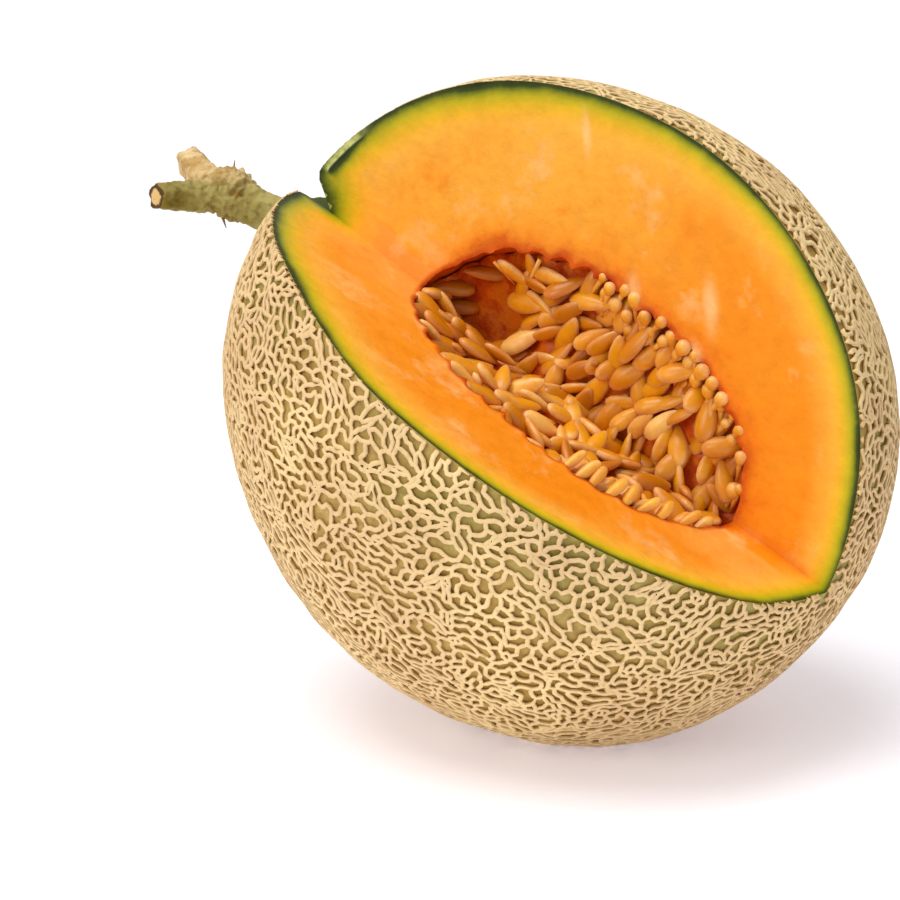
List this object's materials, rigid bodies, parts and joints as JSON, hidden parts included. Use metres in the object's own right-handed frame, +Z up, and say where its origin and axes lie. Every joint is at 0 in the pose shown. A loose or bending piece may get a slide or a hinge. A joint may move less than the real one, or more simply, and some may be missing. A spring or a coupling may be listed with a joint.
{
  "type": "cantaloupe melon",
  "caption": "Netted cantaloupe with one wedge cut out, showing orange flesh and a seed-filled cavity; lies on a small flat spot with its short cut stem on.",
  "frame": {"origin": "on the surface that the melon rests on, straight below the middle of the fruit, within its flat resting spot", "axes": "+Z up from the resting surface; +Y away from a viewer who looks into the cut; +X to that viewer's right, with the stem end towards -X"},
  "size_m": [0.1804, 0.155, 0.1524],
  "materials": {
    "flesh": "moist orange fruit flesh with a soft satin sheen",
    "rind": "satin green rind, dark at the skin and yellow-green inside",
    "net": "dry, matte, cream-tan corky net",
    "seeds": "wet, glossy amber seeds in red-orange pulp",
    "stem": "matte grey-green stem with brown scars"
  },
  "bodies": {
    "root": {"flesh": "flesh", "rind": "rind", "net": "net", "seeds": "seeds", "stem": "stem"}
  },
  "joints": []
}
